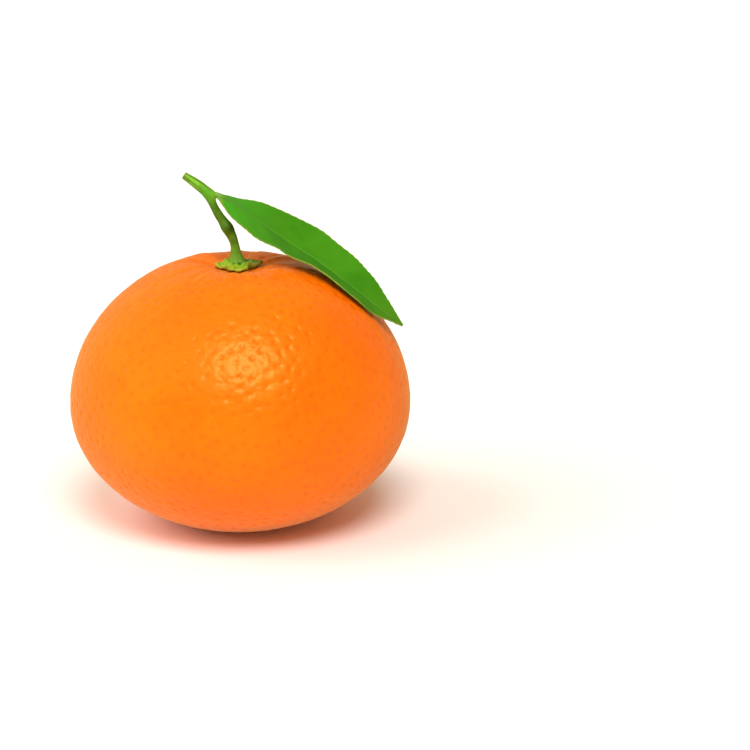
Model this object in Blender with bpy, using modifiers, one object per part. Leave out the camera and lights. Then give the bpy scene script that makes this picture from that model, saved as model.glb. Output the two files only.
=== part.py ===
"""A mandarin as picked: the fruit, its calyx, its stalk with a short end of twig, and one leaf.

Sizes are in metres. The origin is on the surface that the fruit rests on, under its core.
+Z is up along the core, +X is the way the leaf lies, and -Y is the side it is seen from.
"""

import math

import bmesh
import bpy
from mathutils import Vector

MM = 0.001

# The fruit: two half ellipsoids that meet at its widest level, with a hollow at each end.
FRUIT_RADIUS = 34.0 * MM
CROWN_HEIGHT = 30.2 * MM
BELLY_DEPTH = 25.4 * MM
STEM_HOLLOW_DEPTH = 3.3 * MM
STEM_HOLLOW_RADIUS = 7.6 * MM
BASE_HOLLOW_DEPTH = 1.6 * MM
BASE_HOLLOW_RADIUS = 4.5 * MM
WIDEST_LEVEL = 24.55 * MM  # above the flat ring that the fruit rests on
RIB_HEIGHT = 0.34 * MM  # the puckered ribs that run out from the calyx
RIB_PEAK_RADIUS = 8.5 * MM
RIB_WAVES = ((11, 0.50, 0.7), (7, 0.30, 2.1), (17, 0.20, 4.0))  # count round the core, strength, phase
WAIST_SWELL = 0.17 * MM
WAIST_WAVES = ((3, 0.6, 0.9), (5, 0.4, 2.6))
FRUIT_SIDES = 72
FRUIT_RINGS = 44
POLE_CROWDING = 0.3  # draws the rings towards the two ends, where the hollows are

# The calyx: a thick green star that lies in the stem hollow.
PIECE_GAP = 0.35 * MM
CALYX_NOTCH_RADIUS = 2.9 * MM
CALYX_LOBES = (  # direction and half width in degrees, then how far the lobe reaches from the core
    (5, 40, 5.0 * MM),
    (62, 40, 4.5 * MM),
    (131, 44, 4.7 * MM),
    (200, 48, 4.8 * MM),
    (275, 46, 5.5 * MM),
)
CALYX_THICKNESS = 0.75 * MM
CALYX_BOSS_HEIGHT = 0.5 * MM
CALYX_BOSS_RADIUS = 1.9 * MM
CALYX_TIP_LIFT = 0.20 * MM
CALYX_TIP_LENGTH = 2.0 * MM  # how far in from its tip a lobe starts to lift
CALYX_SIDES = 70
CALYX_RINGS = 14

# The stalk and twig: one bent shoot from the calyx up to where it was cut.
# Each point is x, y and height above the widest level, then the shoot's radius there.
SHOOT = (
    (-0.30, 0.00, 28.85, 1.45),
    (-0.36, 0.00, 29.90, 1.05),
    (-0.58, -0.10, 32.00, 0.82),
    (-1.15, -0.15, 33.85, 0.95),
    (-2.20, -0.20, 35.75, 1.12),
    (-2.95, -0.10, 37.00, 0.92),
    (-3.75, 0.00, 38.20, 0.82),
    (-5.20, 0.20, 40.70, 0.74),
    (-5.85, 0.35, 42.10, 1.05),
    (-6.75, 0.50, 43.10, 1.02),
    (-8.40, 0.90, 44.30, 0.94),
    (-10.60, 1.35, 45.72, 0.72),
)
SHOOT_STEPS = 3  # points between two neighbours of that list
LEAF_CUSHION = (-5.25, 0.32, 42.20)  # the swelling that the leaf's stalk springs from
LEAF_CUSHION_RADII = (0.85, 0.80, 0.74)
LEAF_CUSHION_TILT = 20  # degrees down towards the leaf
BUD = (-1.70, -0.65, 35.85)  # an old bud's scar, where the shoot kinks
BUD_RADII = (0.72, 0.60, 0.95)
BUD_TILT = 25

# The leaf: its midrib's course, in x, y and height above the widest level.
MIDRIB = (
    (-3.20, 0.45, 41.65),
    (-0.70, 1.00, 39.95),
    (3.80, 2.00, 36.45),
    (9.50, 2.45, 32.15),
    (15.90, 1.35, 28.05),
    (22.00, -0.75, 23.85),
    (27.90, -2.20, 19.40),
    (32.40, -3.20, 16.30),
)
PETIOLE_START = (-4.08, 0.40, 41.90)
LEAF_STATIONS = (  # share of the length, half width in mm, rise of the near and the far half in degrees
    (0.00, 0.5, -40, 14),
    (0.04, 2.4, -38, 14),
    (0.10, 4.5, -29, 15),
    (0.20, 6.5, -18, 20),
    (0.32, 7.6, -6, 23),
    (0.45, 7.9, 6, 23),
    (0.60, 7.3, 14, 19),
    (0.75, 5.8, 4, 22),
    (0.88, 3.5, -2, 22),
    (1.00, 0.3, 0, 20),
)
LEAF_THICKNESS = 0.65 * MM
LEAF_WAVE = 0.14 * MM
LEAF_WAVES = 6.5
FAR_WAVE_LEAD = 0.9  # radians that the far margin's waves run ahead of the near margin's
LEAF_CUP = 0.3 * MM  # how far the margins curl up from a straight fold
FULL_WIDTH = 4.0 * MM  # half width from which the waves and the cup are at full strength
LEAF_ROWS = 40
LEAF_COLUMNS = 14
PETIOLE_RADIUS = 0.52 * MM
MIDRIB_END_RADIUS = 0.22 * MM
MIDRIB_DROP = 0.30 * MM  # below the blade's middle, so that the rib stands out underneath
MIDRIB_DROP_SHARE = 0.12  # share of the leaf's length over which it drops
MIDRIB_REACH = 0.97  # share of the leaf's length that the rib runs
MIDRIB_POINTS = 30

RIND_COLOUR = (0.95, 0.24, 0.012, 1.0)
CALYX_COLOUR = (0.36, 0.46, 0.05, 1.0)
SHOOT_COLOUR = (0.16, 0.30, 0.03, 1.0)
LEAF_COLOUR = (0.06, 0.27, 0.02, 1.0)


def above_widest(x, y, height):
    """A point given in millimetres, with its height above the fruit's widest level."""
    return Vector((x * MM, y * MM, height * MM + WIDEST_LEVEL))


def waves(azimuth, terms):
    """Uneven waves round the core, from -1 to 1."""
    return sum(strength * math.cos(count * azimuth + phase) for count, strength, phase in terms)


def crown_height(radius, azimuth):
    """The rind's height at this distance from the core, on the fruit's upper half."""
    share = min(1.0, radius / FRUIT_RADIUS)
    height = WIDEST_LEVEL + CROWN_HEIGHT * math.sqrt(1 - share**2)
    height -= STEM_HOLLOW_DEPTH * math.exp(-((radius / STEM_HOLLOW_RADIUS) ** 2))
    rise = (radius / RIB_PEAK_RADIUS) ** 2
    return height + RIB_HEIGHT * rise * math.exp(1 - rise) * waves(azimuth, RIB_WAVES)


def belly_height(radius):
    """The rind's height on the lower half, pressed flat where it rests."""
    share = min(1.0, radius / FRUIT_RADIUS)
    height = WIDEST_LEVEL - BELLY_DEPTH * math.sqrt(1 - share**2)
    height += BASE_HOLLOW_DEPTH * math.exp(-((radius / BASE_HOLLOW_RADIUS) ** 2))
    return max(0.0, height)


def smooth(value):
    """An eased step from 0 to 1."""
    value = min(1.0, max(0.0, value))
    return value * value * (3 - 2 * value)


def curve_through(points, steps):
    """A smooth curve through the points, each a Vector of any length, as a denser list."""
    padded = [2 * points[0] - points[1], *points, 2 * points[-1] - points[-2]]
    dense = []
    for before, start, end, after in zip(padded, padded[1:], padded[2:], padded[3:]):
        for step in range(steps):
            t = step / steps
            dense.append(
                0.5
                * (
                    2 * start
                    + (end - before) * t
                    + (2 * before - 5 * start + 4 * end - after) * t**2
                    + (3 * start - before - 3 * end + after) * t**3
                )
            )
    return dense + [points[-1]]


def along(points, share):
    """The point this share of the way down a dense curve, by length."""
    lengths = [(b - a).length for a, b in zip(points, points[1:])]
    left = share * sum(lengths)
    for start, end, length in zip(points, points[1:], lengths):
        if left <= length:
            return start.lerp(end, left / length)
        left -= length
    return points[-1].copy()


def clear_scene():
    for obj in list(bpy.data.objects):
        bpy.data.objects.remove(obj)


def new_collection(name):
    collection = bpy.data.collections.new(name)
    bpy.context.scene.collection.children.link(collection)
    return collection


def new_material(name, colour, roughness):
    material = bpy.data.materials.new(name)
    material.use_nodes = True
    shader = material.node_tree.nodes["Principled BSDF"]
    shader.inputs["Base Color"].default_value = colour
    shader.inputs["Roughness"].default_value = roughness
    shader.inputs["Metallic"].default_value = 0.0
    return material


def add_object(name, data, collection, material=None):
    obj = bpy.data.objects.new(name, data)
    collection.objects.link(obj)
    if material:
        data.materials.append(material)
    return obj


def mesh_from(bm, name):
    mesh = bpy.data.meshes.new(name)
    bm.to_mesh(mesh)
    bm.free()
    mesh.shade_smooth()
    return mesh


def sphere_mesh(name, sides, rings, place):
    """A UV sphere whose every point is put where place(polar, azimuth) says."""
    bm = bmesh.new()
    bmesh.ops.create_uvsphere(bm, u_segments=sides, v_segments=rings, radius=1.0)
    for vertex in bm.verts:
        polar = math.acos(max(-1.0, min(1.0, vertex.co.z)))
        azimuth = math.atan2(vertex.co.y, vertex.co.x)
        vertex.co = place(polar, azimuth)
    bmesh.ops.recalc_face_normals(bm, faces=bm.faces)
    return mesh_from(bm, name)


def tube_mesh(name, points, radii, bevel_resolution, collection):
    """A round tube with closed ends through the points, as a welded mesh."""
    curve = bpy.data.curves.new(name, "CURVE")
    curve.dimensions = "3D"
    curve.bevel_depth = 1.0
    curve.bevel_resolution = bevel_resolution
    curve.use_fill_caps = True
    spline = curve.splines.new("POLY")
    spline.points.add(len(points) - 1)
    for slot, point, radius in zip(spline.points, points, radii):
        slot.co = (*point, 1.0)
        slot.radius = radius
    guide = add_object(name + "_guide", curve, collection)
    bpy.context.view_layer.update()
    evaluated = guide.evaluated_get(bpy.context.evaluated_depsgraph_get())
    mesh = bpy.data.meshes.new_from_object(evaluated)
    bpy.data.objects.remove(guide)
    bm = bmesh.new()
    bm.from_mesh(mesh)
    bmesh.ops.remove_doubles(bm, verts=bm.verts, dist=0.001 * MM)
    bmesh.ops.triangulate(bm, faces=[face for face in bm.faces if len(face.verts) > 4])
    bmesh.ops.recalc_face_normals(bm, faces=bm.faces)
    bpy.data.meshes.remove(mesh)
    return mesh_from(bm, name)


def bump_mesh(name, centre, radii, tilt_degrees):
    """An ellipsoid, tilted down towards +X."""
    bm = bmesh.new()
    bmesh.ops.create_icosphere(bm, subdivisions=3, radius=1.0)
    tilt = math.radians(tilt_degrees)
    for vertex in bm.verts:
        x, y, z = (value * radius * MM for value, radius in zip(vertex.co, radii))
        turned = Vector((x * math.cos(tilt) + z * math.sin(tilt), y, z * math.cos(tilt) - x * math.sin(tilt)))
        vertex.co = centre + turned
    return mesh_from(bm, name)


def join(obj, mesh, helpers):
    """Fuses a mesh to the object by a Boolean union."""
    helper = add_object(mesh.name, mesh, helpers)
    helper.hide_render = True
    helper.display_type = "WIRE"
    modifier = obj.modifiers.new("join_" + mesh.name, "BOOLEAN")
    modifier.operation = "UNION"
    modifier.solver = "EXACT"
    modifier.object = helper


def fruit_point(polar, azimuth):
    crowded = polar - POLE_CROWDING * math.sin(2 * polar)
    radius = FRUIT_RADIUS * math.sin(crowded)
    if crowded < math.pi / 2:
        height = crown_height(radius, azimuth)
    else:
        height = belly_height(radius)
    radius += WAIST_SWELL * math.sin(crowded) ** 4 * waves(azimuth, WAIST_WAVES)
    return Vector((radius * math.cos(azimuth), radius * math.sin(azimuth), height))


def make_fruit(collection):
    """The whole fruit in its rind, one solid."""
    mesh = sphere_mesh("fruit", FRUIT_SIDES, FRUIT_RINGS, fruit_point)
    return add_object("fruit", mesh, collection, new_material("rind", RIND_COLOUR, 0.42))


def calyx_outline(azimuth):
    """The star's reach from the core in this direction."""
    reach = CALYX_NOTCH_RADIUS
    for direction, half_width, length in CALYX_LOBES:
        off = (math.degrees(azimuth) - direction + 180) % 360 - 180
        share = min(1.0, abs(off) / half_width)
        reach = max(reach, CALYX_NOTCH_RADIUS + (length - CALYX_NOTCH_RADIUS) * (1 - share**2))
    return reach


def calyx_point(polar, azimuth):
    """The upper half of the sphere is the star's top, and the lower half lies on the rind."""
    share = math.sin(polar)
    radius = share * calyx_outline(azimuth)
    seat = crown_height(radius, azimuth) + PIECE_GAP
    lift = CALYX_TIP_LIFT * smooth((radius - CALYX_NOTCH_RADIUS) / CALYX_TIP_LENGTH)
    if polar > math.pi / 2:
        height = seat + lift
    else:
        thickness = CALYX_THICKNESS * math.cos(polar) ** 0.5
        boss = CALYX_BOSS_HEIGHT * math.exp(-((radius / CALYX_BOSS_RADIUS) ** 4))
        height = seat + lift + thickness + boss
    return Vector((radius * math.cos(azimuth), radius * math.sin(azimuth), height))


def make_calyx(collection):
    """The green star that the stalk stands on."""
    mesh = sphere_mesh("calyx", CALYX_SIDES, CALYX_RINGS, calyx_point)
    return add_object("calyx", mesh, collection, new_material("calyx", CALYX_COLOUR, 0.55))


def make_shoot(collection, helpers):
    """The fruit's stalk, the node where the leaf springs, and the cut end of twig."""
    points = [Vector((x, y, z, radius)) for x, y, z, radius in SHOOT]
    dense = curve_through(points, SHOOT_STEPS)
    centres = [above_widest(*point[:3]) for point in dense]
    radii = [point[3] * MM for point in dense]
    mesh = tube_mesh("stem", centres, radii, 4, helpers)
    obj = add_object("stem", mesh, collection, new_material("shoot", SHOOT_COLOUR, 0.55))
    cushion = bump_mesh("leaf_cushion", above_widest(*LEAF_CUSHION), LEAF_CUSHION_RADII, LEAF_CUSHION_TILT)
    join(obj, cushion, helpers)
    join(obj, bump_mesh("bud_scar", above_widest(*BUD), BUD_RADII, BUD_TILT), helpers)
    return obj


def station(form, share):
    """Half width and the two halves' rise at this share of the leaf's length."""
    for low, high in zip(form, form[1:]):
        if share <= high[0]:
            break
    here = low.lerp(high, (share - low[0]) / (high[0] - low[0]))
    return here[1] * MM, math.radians(here[2]), math.radians(here[3])


def leaf_point(course, form, share, across):
    """A point of the blade: across runs from -1 at the near margin to 1 at the far one."""
    centre = along(course, share)
    step = 0.01
    ahead = along(course, min(1.0, share + step)) - along(course, max(0.0, share - step))
    tangent = ahead.normalized()
    side = Vector((0, 0, 1)).cross(tangent).normalized()
    up = tangent.cross(side)
    half_width, near, far = station(form, share)
    rise = far if across > 0 else near
    reach = abs(across) * half_width
    sideways = math.copysign(math.cos(rise), across) * reach
    upwards = math.sin(rise) * reach
    fullness = min(1.0, half_width / FULL_WIDTH)
    upwards += LEAF_CUP * fullness * across**2 * (abs(across) - 0.5)
    phase = 2 * math.pi * LEAF_WAVES * share + (FAR_WAVE_LEAD if across > 0 else 0.0)
    upwards += LEAF_WAVE * fullness * across**2 * math.sin(phase)
    return centre + side * sideways + up * upwards


def make_leaf(collection, helpers):
    """The blade, with its midrib and short stalk fused to it."""
    course = curve_through([above_widest(*point) for point in MIDRIB], 8)
    form = curve_through([Vector(row) for row in LEAF_STATIONS], 6)
    bm = bmesh.new()
    bmesh.ops.create_grid(bm, x_segments=LEAF_ROWS, y_segments=LEAF_COLUMNS, size=1.0)
    for vertex in bm.verts:
        vertex.co = leaf_point(course, form, (vertex.co.x + 1) / 2, vertex.co.y)
    bmesh.ops.triangulate(bm, faces=bm.faces)
    obj = add_object("leaf", mesh_from(bm, "leaf"), collection, new_material("leaf", LEAF_COLOUR, 0.45))
    thick = obj.modifiers.new("thickness", "SOLIDIFY")
    thick.thickness = LEAF_THICKNESS
    thick.offset = 0.0
    thick.use_even_offset = True
    rib = [above_widest(*PETIOLE_START)]
    radii = [PETIOLE_RADIUS]
    for step in range(MIDRIB_POINTS):
        share = MIDRIB_REACH * step / (MIDRIB_POINTS - 1)
        drop = MIDRIB_DROP * smooth(share / MIDRIB_DROP_SHARE)
        rib.append(along(course, share) - Vector((0, 0, drop)))
        radii.append(PETIOLE_RADIUS + (MIDRIB_END_RADIUS - PETIOLE_RADIUS) * share**0.7)
    join(obj, tube_mesh("midrib", rib, radii, 2, helpers), helpers)
    return obj


def main():
    clear_scene()
    mandarin = new_collection("mandarin")
    helpers = new_collection("helpers")
    make_fruit(mandarin)
    make_calyx(mandarin)
    make_shoot(mandarin, helpers)
    make_leaf(mandarin, helpers)


main()
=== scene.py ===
# %% [markdown]
# # A mandarin as picked
# This lesson gives a plain solid model the looks of the real fruit. The solid has the right sizes and the
# right places, but no skin: it could be clay. Each of its four parts is made again here as a finer surface
# in the same place, and then gets the finish of the real one. The rind and the shoot follow a rule, so
# Geometry Nodes grow them. The calyx and the leaf are bent sheets, shaped point by point with a formula.

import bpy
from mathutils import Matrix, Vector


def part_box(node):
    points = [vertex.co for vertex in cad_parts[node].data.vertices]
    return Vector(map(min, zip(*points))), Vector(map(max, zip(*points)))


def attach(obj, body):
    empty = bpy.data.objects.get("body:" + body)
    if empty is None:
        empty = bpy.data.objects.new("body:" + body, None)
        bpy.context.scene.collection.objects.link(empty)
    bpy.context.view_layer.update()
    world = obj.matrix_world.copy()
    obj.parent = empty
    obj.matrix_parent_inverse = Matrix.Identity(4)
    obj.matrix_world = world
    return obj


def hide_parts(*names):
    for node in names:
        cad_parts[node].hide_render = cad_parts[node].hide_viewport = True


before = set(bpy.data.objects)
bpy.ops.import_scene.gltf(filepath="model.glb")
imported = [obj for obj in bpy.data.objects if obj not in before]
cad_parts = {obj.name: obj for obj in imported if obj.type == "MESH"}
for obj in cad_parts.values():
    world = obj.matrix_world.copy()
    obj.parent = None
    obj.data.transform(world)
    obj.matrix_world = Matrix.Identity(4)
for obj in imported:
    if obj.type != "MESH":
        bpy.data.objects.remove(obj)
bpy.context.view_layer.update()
print("parts of the solid model:", sorted(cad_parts))

# %% [markdown]
# ## Tools that the whole lesson shares
# A node tree is a formula drawn as boxes and lines. One small function adds any node: it sets the node's
# options, then fills its inputs in order, and links an input where it is given another node. The names
# below stand for the kinds of node that come up most.

# %% Add one node
import math

import bmesh
import bpy
from mathutils import Vector, noise

MM = 0.001
MATH = "ShaderNodeMath"
VECTOR = "ShaderNodeVectorMath"
SWITCH = "GeometryNodeSwitch"
COMBINE = "ShaderNodeCombineXYZ"
SEPARATE = "ShaderNodeSeparateXYZ"
NOISE = "ShaderNodeTexNoise"  # takes a place, one over the size of its patches, and its detail
SMOOTH, WAVY, SOFT, CLOUDY = 1.0, 1.5, 2.0, 3.0  # details: how much finer noise lies over the patches
NOISE_MEAN = 0.5
RANGE = "ShaderNodeMapRange"  # takes a value, the two ends that it runs between, and what they become
EASED = {"interpolation_type": "SMOOTHSTEP"}  # a range that starts and ends gently
SHARP_ANGLE = math.radians(50)  # faces that meet at more than this keep a crisp edge


def live(sockets):
    """The sockets that a node shows with its present settings."""
    return [socket for socket in sockets if socket.enabled]


def add(tree, kind, *values, **settings):
    """Adds a node. A value may be a node, which stands for its first output, a socket, or a constant."""
    node = tree.nodes.new(kind)
    for setting, value in settings.items():
        setattr(node, setting, value)
    for socket, value in zip(live(node.inputs), values):
        if isinstance(value, bpy.types.Node):
            value = live(value.outputs)[0]
        if isinstance(value, bpy.types.NodeSocket):
            tree.links.new(value, socket)
        elif value is not None:
            socket.default_value = value
    return node


print("the lesson runs in Blender", bpy.app.version_string)

# %% [markdown]
# A Geometry Nodes tree has named inputs, so its sizes can be changed without opening it. It ends in real
# faces and a material. What it makes is then kept as a plain mesh, because later steps need one. On the way,
# values can be kept on the mesh under a name, and its material reads them there.

# %% Begin, end and run a Geometry Nodes tree
def put_in_scene(name, data):
    """An object for this mesh, lamp or camera."""
    obj = bpy.data.objects.new(name, data)
    bpy.context.scene.collection.objects.link(obj)
    return obj


def begin_tree(name, sizes):
    """A new tree that takes a geometry and these named sizes, and the sockets that give them."""
    tree = bpy.data.node_groups.new(name, "GeometryNodeTree")
    tree.interface.new_socket("Geometry", in_out="INPUT", socket_type="NodeSocketGeometry")
    tree.interface.new_socket("Geometry", in_out="OUTPUT", socket_type="NodeSocketGeometry")
    for label, value in sizes.items():
        kind = "NodeSocketInt" if isinstance(value, int) else "NodeSocketFloat"
        tree.interface.new_socket(label, in_out="INPUT", socket_type=kind)
    return tree, tree.nodes.new("NodeGroupInput").outputs


def end_tree(tree, geometry, material):
    """Closes a tree: real faces instead of instances, smooth shading and the material."""
    real = add(tree, "GeometryNodeRealizeInstances", geometry)
    smooth = add(tree, "GeometryNodeSetShadeSmooth", real)
    painted = add(tree, "GeometryNodeSetMaterial", smooth, None, material)
    add(tree, "NodeGroupOutput", painted)


def plain_mesh(obj):
    """Swaps an object for one of the same name that holds what its modifiers made, with none left on it."""
    bpy.context.view_layer.update()
    graph = bpy.context.evaluated_depsgraph_get()
    mesh = bpy.data.meshes.new_from_object(
        obj.evaluated_get(graph), preserve_all_data_layers=True, depsgraph=graph
    )
    name = obj.name
    bpy.data.objects.remove(obj)
    print(name, "has", len(mesh.vertices), "points and", len(mesh.polygons), "faces")
    return put_in_scene(name, mesh)


def grow(name, tree, sizes, start=None):
    """Runs a tree with these sizes on a starting mesh, and returns the plain result."""
    obj = put_in_scene(name, start or bpy.data.meshes.new(name))
    modifier = obj.modifiers.new("grow", "NODES")
    modifier.node_group = tree
    for item in tree.interface.items_tree:
        if item.in_out == "INPUT" and item.name in sizes:
            modifier[item.identifier] = sizes[item.name]
    return plain_mesh(obj)


# %% Keep values on a mesh, read them, and move its points outwards
def keep(tree, geometry, **values):
    """Keeps values on a mesh under their names."""
    for name, value in values.items():
        geometry = add(tree, "GeometryNodeStoreNamedAttribute", geometry, None, name, value)
    return geometry


def read(tree, *names):
    """The values kept under these names, for a material's tree or a Geometry Nodes tree."""
    if tree.type == "SHADER":
        return [add(tree, "ShaderNodeAttribute", attribute_name=name).outputs["Fac"] for name in names]
    return [add(tree, "GeometryNodeInputNamedAttribute", name, data_type="FLOAT") for name in names]


def push_out(tree, geometry, height):
    """Moves each point of a surface outwards by its height."""
    offset = add(tree, VECTOR, add(tree, "GeometryNodeInputNormal"), height, operation="SCALE")
    return add(tree, "GeometryNodeSetPosition", geometry, None, None, offset)


# %% [markdown]
# ## Shared formulas
# A bell is a soft spot: 1 in its middle, fading to nothing past its width. A ripple is a sum of waves round
# the core, each with its own count, so that no two ribs are alike. Rays are a noise that changes round the
# core and hardly outwards, so it draws lines that point at the stalk. They shape the hollows, the glands,
# the folds and the veins.

# %% Sums, bells, ripples and rays
LEVEL = (1.0, 1.0, 0.0)  # times a place, this leaves its part across the core


def product(tree, first, *others):
    """The nodes that multiply any number of values."""
    for other in others:
        first = add(tree, MATH, first, other, operation="MULTIPLY")
    return first


def weighted_sum(tree, *terms):
    """The nodes of a sum, where each term is a value and its strength."""
    total = 0.0
    for value, strength in terms:
        total = add(tree, MATH, value, strength, total, operation="MULTIPLY_ADD")
    return total


def bell(tree, distance, width):
    """The nodes of exp(-(distance / width)^2)."""
    ratio = add(tree, MATH, distance, width, operation="DIVIDE")
    return add(tree, MATH, product(tree, ratio, ratio, -1.0), operation="EXPONENT")


def ripple(tree, turn, terms):
    """The nodes of a sum of cosines: each term is a count round the core, a strength and a phase."""
    waves = []
    for count, strength, phase in terms:
        angle = add(tree, MATH, turn, float(count), phase, operation="MULTIPLY_ADD")
        waves.append((add(tree, MATH, angle, operation="COSINE"), strength))
    return weighted_sum(tree, *waves)


def from_core(tree, place):
    """A place's part across the core, and how far out that is."""
    flat = add(tree, VECTOR, place, LEVEL, operation="MULTIPLY")
    return flat, add(tree, VECTOR, flat, operation="LENGTH").outputs["Value"]


def waver(tree, place, scale, detail):
    """A noise that swings about 0."""
    return add(tree, MATH, add(tree, NOISE, place, scale, detail), NOISE_MEAN, operation="SUBTRACT")


def rays(tree, flat, radius, rounds, drift, scale, detail):
    """A noise that swings about 0 as one walks round the core, and only drifts outwards."""
    ring = add(tree, VECTOR, add(tree, VECTOR, flat, operation="NORMALIZE"), rounds, operation="SCALE")
    out = add(tree, COMBINE, 0.0, 0.0, add(tree, MATH, radius, drift, operation="DIVIDE"))
    return waver(tree, add(tree, VECTOR, ring, out, operation="ADD"), scale, detail)


def smooth_step(value):
    """An eased step from 0 to 1, as a plain number."""
    value = min(1.0, max(0.0, value))
    return value * value * (3 - 2 * value)


def soft_spot(distance, width, power=2):
    """A bell as a plain number. A higher power gives it a flatter top."""
    return math.exp(-((distance / width) ** power))


# %% [markdown]
# ## Colours and coordinates
# Colours are written as sRGB hex, the way a colour picker shows them. Blender mixes light in linear values,
# so one function turns them. Patterns are measured in millimetres: a material scales its object's
# coordinates a thousandfold first, and a pattern's scale is then one over its real size. A finish is painted
# in layers, like a real one: a ground first, and then each colour over it, as strongly as its amount says.

# %% Colours, layers, and a material's first nodes
def from_hex(text):
    """The linear colour of an sRGB hex value."""
    channels = [int(text[place : place + 2], 16) / 255 for place in (0, 2, 4)]
    return (*[c / 12.92 if c <= 0.04045 else ((c + 0.055) / 1.055) ** 2.4 for c in channels], 1.0)


def new_finish(name, **constants):
    """A Principled material with its plain constants, and coordinates in millimetres."""
    material = bpy.data.materials.new(name)
    material.use_nodes = True
    tree = material.node_tree
    shader = tree.nodes["Principled BSDF"]
    for label, value in constants.items():
        shader.inputs[label.replace("_", " ").title().replace("Ior", "IOR")].default_value = value
    place = tree.nodes.new("ShaderNodeTexCoord").outputs["Object"]
    return material, tree, add(tree, "ShaderNodeMapping", place, None, None, (1 / MM, 1 / MM, 1 / MM))


def patches(tree, in_mm, size, ends):
    """Soft patches about this many millimetres across: a noise stretched between these ends."""
    return add(tree, RANGE, add(tree, NOISE, in_mm, 1 / size, CLOUDY), *ends, **EASED)


def paint(tree, ground, *layers):
    """Lays colours over a ground in turn: each layer is its amount, from 0 to 1, and its colour."""
    for amount, colour in layers:
        ground = add(tree, "ShaderNodeMix", amount, ground, colour, data_type="RGBA")
    return ground


def dress(tree, colour, relief=None, strength=1.0, depth=0.0):
    """Gives the shader its colour, and its relief as bumps of this strength and depth."""
    shader = tree.nodes["Principled BSDF"]
    tree.links.new(live(colour.outputs)[0], shader.inputs["Base Color"])
    if relief is not None:
        bump = add(tree, "ShaderNodeBump", strength, depth, None, relief)
        tree.links.new(bump.outputs["Normal"], shader.inputs["Normal"])


# %% [markdown]
# ## The rind's finish
# A mandarin's rind is a thin waxy skin over a spongy layer full of oil glands. The wax gives it a broad,
# soft gloss and a dull bloom where it turns away, and the glands show as pits that are a little darker and
# redder. The colour isn't even: it drifts between yellow-orange and red-orange over a centimetre or two.
# Fine folds run out from the stem end, with paler crests painted on as highlight and darker furrows painted
# on as shade. Light also sinks a little way into the skin, which keeps its shaded side glowing.

# %% Colours and sizes of the rind's finish, in millimetres
RIPE = from_hex("FF6E00")
RIPE_YELLOW = from_hex("FF7600")
RIPE_RED = from_hex("FF6400")
GLAND_RED = from_hex("DE5600")
GLOSS_TINT = from_hex("FFDA78")  # the wax is clear, so what it mirrors is tinged by the skin just below
BLOOM_TINT = from_hex("FFD060")
SCAR_BROWN = from_hex("7A4A22")
# The folds' crests are painted paler as highlight, and their furrows darker as shade
CREST_PAINTED_HIGHLIGHT = from_hex("FA8C28")
FURROW_PAINTED_SHADE = from_hex("D04E04")
RED_SINKS_DEEPEST = (1.0, 0.35, 0.08)  # how far red, green and blue light go into the skin, as shares
BLUSH_SIZE = 16.0
BLUSH_ENDS = (0.35, 0.68)
MOTTLE_SIZE = 2.6
MOTTLE_ENDS = (0.45, 0.75, 0.0, 0.30)
GLAND_STRENGTH = 0.32
GLAND_DIP = 0.7
FINE_GLAND_SIZE = 1.4  # real glands are 0.5 to 1.5 mm apart
FINE_GLAND_ENDS = (0.0, 0.55)
FINE_GLAND_RISE = 0.45
SKIN_GRAIN_SIZE = 1.5
SKIN_GRAIN_RISE = 1.3
PLEATS_ROUND = 16.0
PLEAT_DRIFT = 8.0
PLEAT_REACH = 12.5
PLEAT_SCALE = 1.0
PLEAT_LEVELS = (30.0, 42.0)  # they fade in between these heights
PLEAT_RISE = 3.4
CREST_HIGHLIGHT_ENDS = (0.02, 0.13, 0.0, 0.55)
FURROW_SHADE_ENDS = (-0.02, -0.13, 0.0, 0.45)
RIND_BUMP = (1.0, 0.1 * MM)  # strength and depth


# %% Waxy citrus rind
def pleats(tree, in_mm):
    """Fine folds that run out from the stem end, above 0 on a crest and below it in a furrow."""
    flat, radius = from_core(tree, in_mm)
    folds = rays(tree, flat, radius, PLEATS_ROUND, PLEAT_DRIFT, PLEAT_SCALE, SMOOTH)
    level = add(tree, SEPARATE, in_mm).outputs["Z"]
    upper = add(tree, RANGE, level, *PLEAT_LEVELS, **EASED)
    return product(tree, folds, bell(tree, radius, PLEAT_REACH), upper)


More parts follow.
